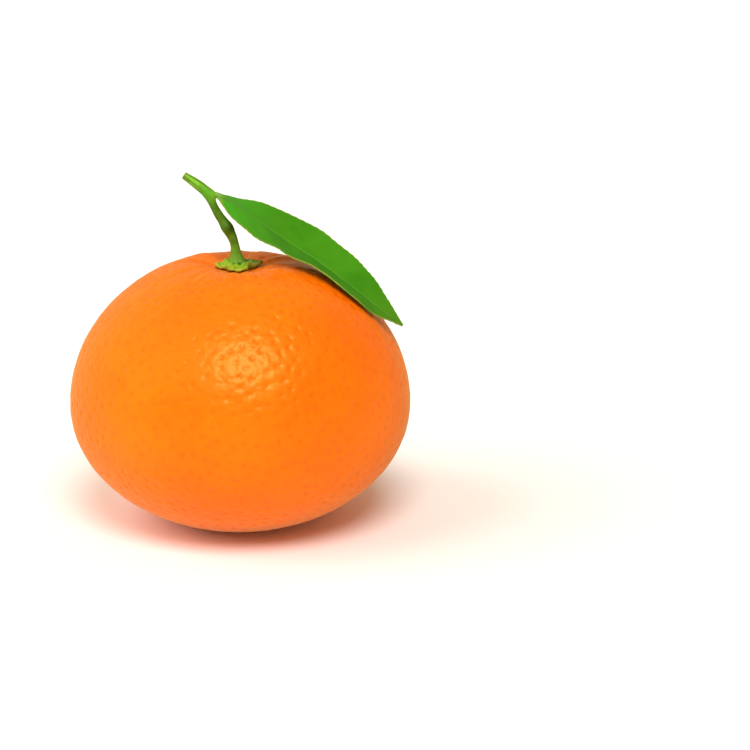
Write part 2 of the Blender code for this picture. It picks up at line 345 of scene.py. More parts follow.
def make_rind_finish():
    """Natural wax over skin: a soft gloss with the skin's own tinge, which the pits break up."""
    material, tree, in_mm = new_finish(
        "waxy_citrus_rind", roughness=0.37, ior=1.44, specular_ior_level=0.86, specular_tint=GLOSS_TINT,
        subsurface_weight=0.12, subsurface_scale=1.2 * MM, subsurface_radius=RED_SINKS_DEEPEST,
        sheen_weight=0.30, sheen_roughness=0.3, sheen_tint=BLOOM_TINT,
    )
    gland, scar = read(tree, "gland", "scar")
    folds = pleats(tree, in_mm)
    colour = paint(
        tree, RIPE,
        (patches(tree, in_mm, BLUSH_SIZE, BLUSH_ENDS), RIPE_YELLOW),
        (patches(tree, in_mm, MOTTLE_SIZE, MOTTLE_ENDS), RIPE_RED),
        (product(tree, gland, GLAND_STRENGTH), GLAND_RED),
        # Painted highlight on the folds' crests and painted shade in their furrows
        (add(tree, RANGE, folds, *CREST_HIGHLIGHT_ENDS, **EASED), CREST_PAINTED_HIGHLIGHT),
        (add(tree, RANGE, folds, *FURROW_SHADE_ENDS, **EASED), FURROW_PAINTED_SHADE),
        (scar, SCAR_BROWN),
    )
    fine = add(tree, "ShaderNodeTexVoronoi", in_mm, 1 / FINE_GLAND_SIZE)
    relief = weighted_sum(
        tree,
        (add(tree, RANGE, fine, *FINE_GLAND_ENDS, **EASED), FINE_GLAND_RISE),
        (add(tree, NOISE, in_mm, 1 / SKIN_GRAIN_SIZE, WAVY), SKIN_GRAIN_RISE),
        (folds, PLEAT_RISE),
        (gland, -GLAND_DIP),
    )
    dress(tree, colour, relief, *RIND_BUMP)
    return material


rind_finish = make_rind_finish()
print("finish:", rind_finish.name)

# %% [markdown]
# ## The rind's shape
# The fruit is two half ellipsoids that meet at its widest level: a taller crown and a shallower belly. Each
# end sinks into a hollow, and ribs run out from the stem end where the rind puckers into the calyx. All of
# this follows a rule, so the mesh is grown from it. The start is a cube of many small squares, blown up to
# a ball: unlike a globe's grid it has no poles, so the squares stay nearly even and no point is pinched.

# %% The fruit's sizes, the same as the solid's
RIND_SIZES = {
    "Points along a side": 128,
    "Radius": 34.0 * MM,
    "Crown height": 30.2 * MM,
    "Belly depth": 25.4 * MM,
    "Widest level": 24.55 * MM,
    "Stem hollow depth": 3.3 * MM,
    "Stem hollow radius": 7.6 * MM,
    "Base hollow depth": 1.6 * MM,
    "Base hollow radius": 4.5 * MM,
    "Rib height": 0.28 * MM,
    "Rib peak radius": 8.5 * MM,
    "Waist swell": 0.17 * MM,
    "Pucker depth": 0.32 * MM,
    "Pucker reach": 15.0 * MM,
    "Puckers round": 44.0,
    "Skin wave": 0.20 * MM,
    "Gland spacing": 2.0 * MM,
    "Gland radius": 0.58 * MM,
    "Gland depth": 0.12 * MM,
    "Seed": 7,
}
RIB_WAVES = ((11, 0.50, 0.7), (7, 0.30, 2.1), (17, 0.20, 4.0))  # count round the core, strength, phase
WAIST_WAVES = ((3, 0.6, 0.9), (5, 0.4, 2.6))
print("the fruit is", round(2 * RIND_SIZES["Radius"] / MM), "mm across")


# %% A ball with even squares, and how high each of its points goes
def make_rind_tree():
    tree, size = begin_tree("rind", RIND_SIZES)
    points = size["Points along a side"]
    cube = add(tree, "GeometryNodeMeshCube", (2.0, 2.0, 2.0), points, points, points)
    eighth = add(tree, VECTOR, add(tree, "GeometryNodeInputPosition"), math.pi / 4, operation="SCALE")
    evened = add(tree, VECTOR, eighth, operation="TANGENT")
    ball = add(tree, VECTOR, evened, operation="NORMALIZE")
    axes = add(tree, SEPARATE, ball)
    flat, spread = from_core(tree, ball)
    turn = add(tree, MATH, axes.outputs["Y"], axes.outputs["X"], operation="ARCTAN2")
    upper = add(tree, "FunctionNodeCompare", axes.outputs["Z"], 0.0, operation="GREATER_THAN")
    radius = product(tree, spread, size["Radius"])
    height = rind_height(tree, size, axes.outputs["Z"], upper, radius, turn, flat)
    wide = add(tree, MATH, radius, waist_swell(tree, size, spread, turn), operation="ADD")
    outward = add(tree, VECTOR, add(tree, VECTOR, flat, operation="NORMALIZE"), wide, operation="SCALE")
    place = add(tree, VECTOR, outward, add(tree, COMBINE, 0.0, 0.0, height), operation="ADD")
    shaped = add(tree, "GeometryNodeSetPosition", cube, None, place)
    end_tree(tree, dimple(tree, size, shaped), rind_finish)
    return tree


def waist_swell(tree, size, spread, turn):
    """The fruit isn't quite round seen from above. The swell fades fast away from the waist."""
    fourth = add(tree, MATH, spread, 4.0, operation="POWER")
    return product(tree, ripple(tree, turn, WAIST_WAVES), fourth, size["Waist swell"])


def rind_height(tree, size, axis, upper, radius, turn, flat):
    """The two half ellipsoids, their hollows and the puckered ribs, pressed flat where the fruit rests."""
    half = add(tree, SWITCH, upper, size["Belly depth"], size["Crown height"], input_type="FLOAT")
    height = add(tree, MATH, axis, half, size["Widest level"], operation="MULTIPLY_ADD")
    stem_dent = product(tree, bell(tree, radius, size["Stem hollow radius"]), size["Stem hollow depth"])
    lowered = add(tree, MATH, height, stem_dent, operation="SUBTRACT")
    ribbed = add(tree, MATH, lowered, puckers(tree, size, radius, turn, flat), operation="ADD")
    base_end = bell(tree, radius, size["Base hollow radius"])
    raised = add(tree, MATH, base_end, size["Base hollow depth"], height, operation="MULTIPLY_ADD")
    rested = add(tree, MATH, raised, 0.0, operation="MAXIMUM")
    return add(tree, SWITCH, upper, rested, ribbed, input_type="FLOAT")


# %% [markdown]
# ## Puckers round the stem
# Where the rind is drawn into the calyx it folds. The broad ribs are the solid's own. Between them run
# narrow furrows: rays give lines that point at the stalk, and the bell of their distance from 0 turns each
# line into a furrow.

# %% Ribs and furrows that run out from the calyx
FURROW_SHARPNESS = 0.045
FURROW_SCALE = 0.5
FURROW_DRIFT = 9.0 * MM


def puckers(tree, size, radius, turn, flat):
    """The height of the ribs, less the depth of the furrows."""
    ratio = add(tree, MATH, radius, size["Rib peak radius"], operation="DIVIDE")
    rise = add(tree, MATH, ratio, 2.0, operation="POWER")
    easing = add(tree, MATH, add(tree, MATH, 1.0, rise, operation="SUBTRACT"), operation="EXPONENT")
    reach = product(tree, rise, easing)
    ribs = product(tree, ripple(tree, turn, RIB_WAVES), reach, size["Rib height"])
    rounds = add(tree, MATH, size["Puckers round"], 2 * math.pi, operation="DIVIDE")
    off = rays(tree, flat, radius, rounds, FURROW_DRIFT, FURROW_SCALE, WAVY)
    far = bell(tree, radius, size["Pucker reach"])
    full = add(tree, MATH, reach, 1.0, operation="MINIMUM")
    deep = product(tree, bell(tree, off, FURROW_SHARPNESS), far, full, size["Pucker depth"])
    return add(tree, MATH, ribs, deep, operation="SUBTRACT")


# %% [markdown]
# ## Oil glands
# Each gland is a small pit. They lie at even distances from each other, because every gland needs its own
# room, so Geometry Nodes scatter points that keep a least spacing. How far each point of the skin is from
# the nearest gland then says how deep it sinks. The same value is kept on the mesh, so that the material
# can redden the pits.

# %% Pits at the glands, on a skin that waves a little
SKIN_WAVE_SIZE = 2.8  # this and the next ones are in millimetres
GLAND_VIGOUR_SIZE = 3.1
GLAND_VIGOUR_ENDS = (0.35, 0.65, 0.55, 1.25)  # some glands sink more than others
SCAR_RADIUS = 1.5
SCAR_LEVEL = 4.0
SCAR_SOFTNESS = 0.8
SCAR_RAGGEDNESS = 0.8
SCAR_EDGE_SCALE = 1.1
GLANDS_PER_SQUARE_METRE = 600000.0
REST_LEVELS = (0.2 * MM, 2.0 * MM)  # the relief fades in above the spot that the fruit rests on


def dimple(tree, size, skin):
    """Sinks a pit at each gland and keeps where the glands and the scar at the base are."""
    place = add(tree, "GeometryNodeInputPosition")
    in_mm = add(tree, VECTOR, place, 1 / MM, operation="SCALE")
    spots = add(
        tree, "GeometryNodeDistributePointsOnFaces", skin, None, size["Gland spacing"],
        GLANDS_PER_SQUARE_METRE, None, size["Seed"], distribute_method="POISSON",
    )
    near = add(tree, "GeometryNodeProximity", spots, target_element="POINTS").outputs["Distance"]
    vigour = add(tree, NOISE, in_mm, 1 / GLAND_VIGOUR_SIZE, SOFT)
    strength = add(tree, RANGE, vigour, *GLAND_VIGOUR_ENDS)
    gland = product(tree, bell(tree, near, size["Gland radius"]), strength)
    pit = product(tree, gland, size["Gland depth"])
    wave = product(tree, waver(tree, in_mm, 1 / SKIN_WAVE_SIZE, SOFT), size["Skin wave"])
    lift = add(tree, MATH, wave, pit, operation="SUBTRACT")
    above = add(tree, RANGE, add(tree, SEPARATE, place).outputs["Z"], *REST_LEVELS, **EASED)
    marked = keep(tree, skin, gland=gland, scar=base_scar(tree, in_mm))
    return push_out(tree, marked, product(tree, lift, above))


def base_scar(tree, in_mm):
    """1 on the small brown scar at the blossom end."""
    away = from_core(tree, in_mm)[1]
    ragged = add(tree, NOISE, in_mm, SCAR_EDGE_SCALE, CLOUDY)
    edge = add(tree, MATH, ragged, SCAR_RAGGEDNESS, away, operation="MULTIPLY_ADD")
    inside = add(tree, RANGE, edge, SCAR_RADIUS, SCAR_RADIUS + SCAR_SOFTNESS, 1.0, 0.0, **EASED)
    low = add(tree, MATH, add(tree, SEPARATE, in_mm).outputs["Z"], SCAR_LEVEL, operation="LESS_THAN")
    return product(tree, inside, low)


rind = grow("rind", make_rind_tree(), RIND_SIZES)

# %% [markdown]
# ## The calyx's finish
# The calyx is what is left of the flower: five green lobes of soft woody tissue, matt and pale at their
# crinkled rims, and painted dark round the foot of the stalk as its shade. The rims dry first and turn
# straw-coloured, and the lobes on the right are tinted olive, partly as dryness and partly as painted shade.

# %% Matt green sepal
SEPAL_GREEN = from_hex("84A616")
SEPAL_PALE = from_hex("9EAE1E")
# A dark green, painted as the shade round the foot of the stalk
SEPAL_PAINTED_SHADE = from_hex("2F6212")
SEPAL_OLIVE_DRY_AND_SHADED = from_hex("5C5E08")
SEPAL_STRAW = from_hex("8A7020")
SEPAL_MOTTLE_SIZE = 0.9
SEPAL_GREEN_ENDS = (0.37, 0.52)  # shares of the way out to the rim, as the next two
SEPAL_PALE_ENDS = (0.80, 0.96)
STRAW_RIM_ENDS = (0.86, 1.0)
STRAW_FLECK_ENDS = (0.52, 0.68)
SEPAL_BUMP = (0.6, 0.06 * MM)


def make_calyx_finish():
    """Soft woody tissue: matt, faintly mottled, and with no gloss to speak of."""
    material, tree, in_mm = new_finish("matt_green_sepal", roughness=0.55, ior=1.45)
    reach, dryness_and_shade = read(tree, "reach", "dryness_and_shade")
    mottle = add(tree, NOISE, in_mm, 1 / SEPAL_MOTTLE_SIZE, CLOUDY)
    fleck = add(tree, RANGE, mottle, *STRAW_FLECK_ENDS, **EASED)
    rim = add(tree, RANGE, reach, *STRAW_RIM_ENDS, **EASED)
    colour = paint(
        # The ground is painted shade round the stalk's foot, and green takes over further out
        tree, SEPAL_PAINTED_SHADE,
        (add(tree, RANGE, reach, *SEPAL_GREEN_ENDS, **EASED), SEPAL_GREEN),
        (add(tree, RANGE, reach, *SEPAL_PALE_ENDS, **EASED), SEPAL_PALE),
        # Olive, partly for dryness and partly as painted shade, strongest on the lobes on the right
        (dryness_and_shade, SEPAL_OLIVE_DRY_AND_SHADED),
        (product(tree, fleck, rim), SEPAL_STRAW),
    )
    dress(tree, colour, mottle, *SEPAL_BUMP)
    return material


calyx_finish = make_calyx_finish()
print("finish:", calyx_finish.name)

# %% [markdown]
# ## The calyx's shape
# Its outline is five lobes of uneven reach. It could be modelled as five petals, but the real one is one
# piece, so a ball is flattened into it instead: the ball's upper half becomes the top, and its lower half
# lies on the rind. Each point's place is worked out from its direction and its share of the way to the rim.
# Small teeth stand round the foot of the stalk, and the rims are crinkled by a noise.

# %% Sizes of the star
CALYX_NOTCH_RADIUS = 2.5 * MM
CALYX_NOTCH_DRYNESS_AND_SHADE = 0.5
CALYX_LOBES = (  # direction and half width in degrees, reach, rise of the tip, and the lobe's dryness with painted shade
    (6, 32, 4.6 * MM, 0.45 * MM, 0.8),
    (62, 36, 4.4 * MM, 0.05 * MM, 0.3),
    (127, 37, 4.6 * MM, 0.05 * MM, 0.0),
    (193, 36, 4.8 * MM, 0.25 * MM, 0.0),
    (268, 40, 5.4 * MM, 0.10 * MM, 0.1),
)
CALYX_BLUNTNESS = 2.6
CALYX_SEAT_GAP = 0.10 * MM
CALYX_THICKNESS = 0.75 * MM
CALYX_ROUNDNESS = 0.4  # the power that rounds the rim's edge
CALYX_BOSS_HEIGHT = 1.15 * MM
CALYX_BOSS_RADIUS = 3.0 * MM
CALYX_TIP_LENGTH = 2.0 * MM
COLLAR_RADIUS = 1.75 * MM  # a groove round the foot of the stalk
COLLAR_WIDTH = 0.35 * MM
COLLAR_DEPTH = 0.22 * MM
TEETH = 11
TEETH_RADIUS = 2.2 * MM
TOOTH_LENGTH = 0.38 * MM
TOOTH_HEIGHT = 0.24 * MM
CALYX_SIDES = 200
CALYX_RINGS = 90
RIM_CRINKLE = 0.22 * MM
RIM_CRINKLE_SIZE = 0.8 * MM
RIM_CRINKLE_START = 0.6  # this and the next two are shares of the way out to the rim
RIM_ROLL_SHARE = 0.90
RIM_ROLL_WIDTH = 0.07
RIM_ROLL_HEIGHT = 0.16 * MM
RIM_ROLL_LEAST = 0.6
TOP_CRINKLE_SHIFT = Vector((3, 7, 1))  # so that the top's crinkles aren't the outline's
SEPAL_WRINKLE = 0.10 * MM
SEPAL_WRINKLE_LENGTH = 1.65 * MM
SEPAL_WRINKLE_START = 0.4
SEPAL_WRINKLES_ROUND = 5.0


# %% The star, point by point
def crown_height(radius, azimuth):
    """The rind's height on the fruit's upper half, without its furrows."""
    height = RIND_SIZES["Widest level"]
    height += RIND_SIZES["Crown height"] * math.sqrt(1 - (radius / RIND_SIZES["Radius"]) ** 2)
    height -= RIND_SIZES["Stem hollow depth"] * soft_spot(radius, RIND_SIZES["Stem hollow radius"])
    rise = (radius / RIND_SIZES["Rib peak radius"]) ** 2
    uneven = sum(strength * math.cos(count * azimuth + phase) for count, strength, phase in RIB_WAVES)
    return height + RIND_SIZES["Rib height"] * rise * math.exp(1 - rise) * uneven


def calyx_lobe(azimuth):
    """How far the star reaches here with its crinkled rim, its tip's rise, and its dryness and painted shade.
    """
    reach, rise, dryness_and_shade = CALYX_NOTCH_RADIUS, 0.0, CALYX_NOTCH_DRYNESS_AND_SHADE
    for direction, half_width, length, lift, lobe_dryness_and_shade in CALYX_LOBES:
        off = (math.degrees(azimuth) - direction + 180) % 360 - 180
        share = min(1.0, abs(off) / half_width)
        here = CALYX_NOTCH_RADIUS + (length - CALYX_NOTCH_RADIUS) * (1 - share**CALYX_BLUNTNESS)
        if here > reach:
            reach, rise, dryness_and_shade = here, lift, lobe_dryness_and_shade
    rim = Vector((math.cos(azimuth), math.sin(azimuth), 0)) * reach / RIM_CRINKLE_SIZE
    return reach + RIM_CRINKLE * noise.noise(rim), rise, dryness_and_shade


def calyx_top(polar, azimuth, share, radius, crinkle):
    """How far the top stands above the underside: its boss, collar, teeth, wrinkles and rolled rim."""
    height = CALYX_THICKNESS * math.cos(polar) ** CALYX_ROUNDNESS
    height += CALYX_BOSS_HEIGHT * soft_spot(radius, CALYX_BOSS_RADIUS, 4)
    height -= COLLAR_DEPTH * soft_spot(radius - COLLAR_RADIUS, COLLAR_WIDTH)
    height += TOOTH_HEIGHT * soft_spot(radius - TEETH_RADIUS, TOOTH_LENGTH) * math.cos(TEETH * azimuth)
    wrinkle = noise.noise(Vector((azimuth * SEPAL_WRINKLES_ROUND, radius / SEPAL_WRINKLE_LENGTH, 0)))
    height += SEPAL_WRINKLE * wrinkle * smooth_step(share / SEPAL_WRINKLE_START)
    roll = soft_spot(share - RIM_ROLL_SHARE, RIM_ROLL_WIDTH)
    return height + RIM_ROLL_HEIGHT * roll * (RIM_ROLL_LEAST + crinkle)


def calyx_point(polar, azimuth):
    """A point of the star, how far out it lies as a share of the way to the rim, and its dryness and painted
    shade.
    """
    share = math.sin(polar)
    reach, rise, dryness_and_shade = calyx_lobe(azimuth)
    radius = share * reach
    around = Vector((math.cos(azimuth), math.sin(azimuth), 0)) * radius
    crinkle = noise.noise(around / RIM_CRINKLE_SIZE + TOP_CRINKLE_SHIFT)
    lift = rise * smooth_step((radius - CALYX_NOTCH_RADIUS) / CALYX_TIP_LENGTH)
    lift += RIM_CRINKLE * crinkle * smooth_step((share - RIM_CRINKLE_START) / (1 - RIM_CRINKLE_START))
    height = crown_height(radius, azimuth) + CALYX_SEAT_GAP + max(0.0, lift)
    if polar < math.pi / 2:
        height += calyx_top(polar, azimuth, share, radius, crinkle)
    return Vector((around.x, around.y, height)), share, dryness_and_shade * share


# %% Flatten a ball into the star
def mesh_of(bm, name):
    """Turns a finished bmesh into a mesh."""
    mesh = bpy.data.meshes.new(name)
    bm.to_mesh(mesh)
    bm.free()
    return mesh


def make_calyx():
    """A flattened ball that keeps each point's share of the reach, and its dryness and painted shade, for the
    material.
    """
    bm = bmesh.new()
    bmesh.ops.create_uvsphere(bm, u_segments=CALYX_SIDES, v_segments=CALYX_RINGS, radius=1.0)
    reach = bm.verts.layers.float.new("reach")
    dryness_and_shade = bm.verts.layers.float.new("dryness_and_shade")
    for vertex in bm.verts:
        polar = math.acos(max(-1.0, min(1.0, vertex.co.z)))
        azimuth = math.atan2(vertex.co.y, vertex.co.x)
        vertex.co, vertex[reach], vertex[dryness_and_shade] = calyx_point(polar, azimuth)
    bmesh.ops.recalc_face_normals(bm, faces=bm.faces)
    mesh = mesh_of(bm, "calyx_star")
    mesh.shade_smooth()
    mesh.materials.append(calyx_finish)
    print("calyx_star has", len(mesh.vertices), "points")
    return put_in_scene("calyx_star", mesh)


calyx = make_calyx()

# %% [markdown]
# ## The shoot's finish
# The stalk and twig are this year's wood, so their bark is still green: satin, ridged along its length, and
# paler on the high ridges and at the foot. The node where the leaf springs is a fresher green, and the bark
# round the bud, on the stalk's right side, is painted dark as shade. An old scar above the node and the dried
# end are flecked with brown, and the cut face shows pale wood inside a brown rim.

# %% Satin green bark
BARK_GREEN = from_hex("4A8010")
BARK_LIGHT = from_hex("7AB42A")
BARK_NODE = from_hex("4A9C14")
BARK_OLIVE = from_hex("4E6E0E")
BARK_DARK = from_hex("283F02")
BARK_FOOT = from_hex("629020")
FLECK_BROWN = from_hex("8A7A4A")
CUT_WOOD = from_hex("A3A878")
CUT_RIM = from_hex("7C6A4C")
BARK_RIDGE_ENDS = (0.35, 0.65)
TWIG_RIDGE_ENDS = (0.35, 0.60)
TWIG_RUN = (12.0 * MM, 17.0 * MM)  # how far up the shoot the lighter twig begins
FOOT_RUN = (7.0 * MM, 3.5 * MM)  # how far up the shoot its paler foot ends
NODE_RUN = 14.8 * MM  # how far up the shoot the leaf springs
NODE_LENGTH = 1.6 * MM
BARK_SHADE_SIZE = 1.6
BARK_SHADE_ENDS = (0.50, 0.72, 0.0, 0.5)
BARK_FLECK_SIZE = 0.5
BARK_FLECK_ENDS = (0.52, 0.62)
CUT_FACE = 0.5  # "cut_end" is above this on the cut face: 1 at its middle and 2 at its rim
CUT_RIM_ENDS = (1.25, 1.85)
BARK_GRAIN_SIZE = 0.35
BARK_BUMP = (0.5, 0.03 * MM)


def make_shoot_finish():
    """Living bark: a satin, slightly waxy green whose ridges catch the light."""
    material, tree, in_mm = new_finish(
        "satin_green_bark", roughness=0.45, ior=1.44, specular_ior_level=0.22
    )
    ridge, run, old, cut, bud, cushion = read(tree, "ridge", "run", "old_wood", "cut_end", "bud", "cushion")
    twig = paint(tree, BARK_GREEN, (add(tree, RANGE, ridge, *TWIG_RIDGE_ENDS, **EASED), BARK_LIGHT))
    wood = paint(tree, CUT_WOOD, (add(tree, RANGE, cut, *CUT_RIM_ENDS, **EASED), CUT_RIM))
    past_node = add(tree, MATH, run, NODE_RUN, operation="SUBTRACT")
    flecks = product(tree, patches(tree, in_mm, BARK_FLECK_SIZE, BARK_FLECK_ENDS), old)
    colour = paint(
        tree, BARK_OLIVE,
        (add(tree, RANGE, ridge, *BARK_RIDGE_ENDS, **EASED), BARK_GREEN),
        (add(tree, RANGE, run, *TWIG_RUN, **EASED), twig),
        (add(tree, RANGE, run, *FOOT_RUN, **EASED), BARK_FOOT),
        (patches(tree, in_mm, BARK_SHADE_SIZE, BARK_SHADE_ENDS), BARK_DARK),
        # Painted shade round the bud, on the stalk's right side
        (bud, BARK_DARK),
        (bell(tree, past_node, NODE_LENGTH), BARK_NODE),
        (cushion, BARK_LIGHT),
        (flecks, FLECK_BROWN),
        (add(tree, MATH, cut, CUT_FACE, operation="GREATER_THAN"), wood),
    )
    dress(tree, colour, add(tree, NOISE, in_mm, 1 / BARK_GRAIN_SIZE, CLOUDY), *BARK_BUMP)
    return material


shoot_finish = make_shoot_finish()
print("finish:", shoot_finish.name)

# %% [markdown]
# ## The shoot's shape
# A twig is a tube that follows a path, and Geometry Nodes sweep it: a circle is drawn along the curve and
# scaled by the shoot's girth at each point. The ridges come from a noise that changes round the tube but
# hardly along it. Swellings, such as the leaf's cushion and the bud's scar, push out what lies near them,
# so they blend into the bark with no seam.

# %% The shoot's course, the same as the solid's
SHOOT = (  # x, y and height above the fruit's widest level, then the shoot's radius there, all in mm
    (-0.45, 0.00, 28.70, 1.85),
    (-0.50, 0.00, 29.60, 1.32),
    (-0.60, 0.00, 30.50, 1.02),
    (-0.80, -0.10, 32.20, 0.84),
    (-1.38, -0.15, 33.95, 0.95),
    (-2.36, -0.20, 35.75, 1.12),
    (-3.12, -0.10, 37.00, 0.92),
    (-3.92, 0.00, 38.20, 0.84),
    (-5.25, 0.20, 40.70, 0.76),
    (-5.85, 0.35, 42.10, 1.05),
    (-6.75, 0.50, 43.10, 1.02),
    (-8.40, 0.90, 44.30, 0.94),
    (-10.60, 1.35, 45.72, 0.72),
)
SHOOT_STEPS = 14
SHOOT_SIZES = {
    "Sides": 40,
    "Ridges round": 9.0,
    "Ridge height": 0.16 * MM,
    "Cushion height": 0.45 * MM,
    "Bud height": 0.30 * MM,
}
FOOT_LENGTH = 2.2 * MM
FOOT_RIDGES = 2.5  # how much higher the ridges are where the stalk spreads into the calyx
BARK_DRIFT = 6.0 * MM
LEAF_CUSHION = (-4.75, 0.32, 42.05)
LEAF_CUSHION_WIDTH = 1.15 * MM
BUD = (-1.60, -0.85, 35.6)
BUD_WIDTH = 0.95 * MM
NODE_SCAR = (-5.7, 0.0, 43.8)
NODE_SCAR_WIDTH = 0.9 * MM
DRY_END_WIDTH = 1.2 * MM
CUT_BEVEL = 0.10 * MM
CUT_BEVEL_SHARE = 0.84


# %% Turn a list of points into a smooth path
def above_widest(x, y, height):
    """A point given in millimetres, with its height above the fruit's widest level."""
    return Vector((x * MM, y * MM, height * MM + RIND_SIZES["Widest level"]))


def curve_through(points, count):
    """A smooth curve through the points, each a Vector of any length, as a denser list."""
    padded = [2 * points[0] - points[1], *points, 2 * points[-1] - points[-2]]
    dense = []
    for before, start, end, after in zip(padded, padded[1:], padded[2:], padded[3:]):
        for step in range(count):
            t = step / count
            line = 2 * start + (end - before) * t
            bend = (2 * before - 5 * start + 4 * end - after) * t**2
            twist = (3 * start - before - 3 * end + after) * t**3
            dense.append(0.5 * (line + bend + twist))
    return dense + [points[-1]]


def lengths_of(points):
    """The length of each stretch of a path."""
    return [(b - a).length for a, b in zip(points, points[1:])]


def path_mesh(name, centres, girths):
    """A chain of points that keeps the tube's radius at each of them."""
    mesh = bpy.data.meshes.new(name)
    mesh.from_pydata(centres, [(place, place + 1) for place in range(len(centres) - 1)], [])
    girth = mesh.attributes.new("girth", "FLOAT", "POINT")
    girth.data.foreach_set("value", girths)
    return mesh


shoot_points = curve_through([Vector(point) for point in SHOOT], SHOOT_STEPS)
shoot_centres = [above_widest(*point[:3]) for point in shoot_points]
shoot_girths = [point[3] * MM for point in shoot_points]
heading = (shoot_centres[-1] - shoot_centres[-2]).normalized()
shoot_centres.append(shoot_centres[-1] + heading * CUT_BEVEL)
shoot_girths.append(shoot_girths[-1] * CUT_BEVEL_SHARE)
shoot_length = sum(lengths_of(shoot_centres))
print("the shoot is", round(shoot_length / MM, 1), "mm long")


# %% Sweep the shoot
def swept_tube(tree, sides):
    """Sweeps a circle along the path, and keeps how far along and how far round each point is."""
    path = add(tree, "GeometryNodeMeshToCurve", tree.nodes["Group Input"].outputs["Geometry"])
    path = keep(tree, path, run=add(tree, "GeometryNodeSplineParameter").outputs["Length"])
    circle = add(tree, "GeometryNodeCurvePrimitiveCircle", sides)
    turn = product(tree, add(tree, "GeometryNodeSplineParameter").outputs["Factor"], 2 * math.pi)
    profile = keep(tree, circle, turn=turn)
    girth = read(tree, "girth")[0]
    closed_ends = True
    return add(tree, "GeometryNodeCurveToMesh", path, profile, girth, closed_ends)


def distance_to(tree, point):
    """How far each point of the surface is from a fixed one."""
    place = add(tree, "GeometryNodeInputPosition")
    return add(tree, VECTOR, place, point, operation="DISTANCE").outputs["Value"]


def ridges_along(tree, rounds, drift):
    """A noise that changes round the tube and only slowly along it, from 0 to 1, and the run along it."""
    turn, run = read(tree, "turn", "run")
    radius = add(tree, MATH, rounds, 2 * math.pi, operation="DIVIDE")
    x = product(tree, add(tree, MATH, turn, operation="COSINE"), radius)
    y = product(tree, add(tree, MATH, turn, operation="SINE"), radius)
    walk = add(tree, COMBINE, x, y, add(tree, MATH, run, drift, operation="DIVIDE"))
    return add(tree, NOISE, walk, 1.0, SOFT), run


def cut_end(tree, run, end_point):
    """0 on the bark, and on the cut face 1 at its middle and 2 at its rim."""
    share = add(tree, MATH, distance_to(tree, end_point), SHOOT[-1][3] * MM, operation="DIVIDE")
    last = add(tree, MATH, run, shoot_length - 0.5 * CUT_BEVEL, operation="GREATER_THAN")
    return product(tree, add(tree, MATH, share, 1.0, operation="ADD"), last)


def make_shoot_tree(end_point):
    tree, size = begin_tree("shoot", SHOOT_SIZES)
    tube = swept_tube(tree, size["Sides"])
    ridge, run = ridges_along(tree, size["Ridges round"], BARK_DRIFT)
    even = add(tree, MATH, ridge, NOISE_MEAN, operation="SUBTRACT")
    footing = add(tree, MATH, bell(tree, run, FOOT_LENGTH), FOOT_RIDGES, 1.0, operation="MULTIPLY_ADD")
    cushion = bell(tree, distance_to(tree, above_widest(*LEAF_CUSHION)), LEAF_CUSHION_WIDTH)
    bud = bell(tree, distance_to(tree, above_widest(*BUD)), BUD_WIDTH)
    lift = weighted_sum(
        tree,
        (even, product(tree, size["Ridge height"], footing)),
        (cushion, size["Cushion height"]),
        (bud, size["Bud height"]),
    )
    cut = cut_end(tree, run, end_point)
    whole = add(tree, MATH, cut, CUT_FACE, operation="LESS_THAN")
    scar = bell(tree, distance_to(tree, above_widest(*NODE_SCAR)), NODE_SCAR_WIDTH)
    dry_end = bell(tree, distance_to(tree, end_point), DRY_END_WIDTH)
    old = add(tree, MATH, scar, dry_end, operation="MAXIMUM")
    marked = keep(tree, tube, ridge=ridge, old_wood=old, bud=bud, cushion=cushion, cut_end=cut)
    end_tree(tree, push_out(tree, marked, product(tree, lift, whole)), shoot_finish)
    return tree


shoot_path = path_mesh("shoot", shoot_centres, shoot_girths)
shoot = grow("shoot", make_shoot_tree(shoot_centres[-1]), SHOOT_SIZES, shoot_path)
shoot.data.set_sharp_from_angle(angle=SHARP_ANGLE)

# %% [markdown]
# ## The leaf's finishes
# A mandarin's leaf is leathery. Its top is waxed and deep green, with a pale midrib and faint side veins
# that arch towards the tip. Its underside is paler and duller, because it has more air in it and less wax.
# The edge is thin enough for light to show it yellow-green. So the blade has three finishes.

# %% Waxed leaf top, dull underside and thin margin
LEAF_GREEN = from_hex("428B0E")
LEAF_DEEP = from_hex("39820B")
# A lighter green, painted towards the leaf's base as light
LEAF_BASE_PAINTED_LIGHT = from_hex("469E1C")
LEAF_STALK = from_hex("6FA030")
LEAF_TIP_GREY = from_hex("4E7E12")
LEAF_VEIN = from_hex("58972A")
LEAF_UNDER = from_hex("5D7A2E")
LEAF_UNDER_VEIN = from_hex("7C9448")
LEAF_MARGIN = from_hex("869A2C")
LEAF_PATCH_SIZE = 9.0
LEAF_PATCH_ENDS = (0.40, 0.62)
LEAF_BASE_PAINTED_LIGHT_ENDS = (0.36, 0.05)  # shares of the leaf's length, as the next two
LEAF_TIP_ENDS = (0.72, 1.0, 0.0, 0.7)
LEAF_STALK_ENDS = (0.050, 0.020)
LEAF_EDGE_ENDS = (0.975, 1.0)  # shares of the way out to the margin
LEAF_CELL_SIZE = 0.7  # the net of the finest veins
LEAF_CELL_ENDS = (0.0, 0.12)
LEAF_BUMP = (0.5, 0.015 * MM)
MARGIN_WEAR_SIZE = 2.0
MARGIN_WEAR_ENDS = (0.4, 0.65)


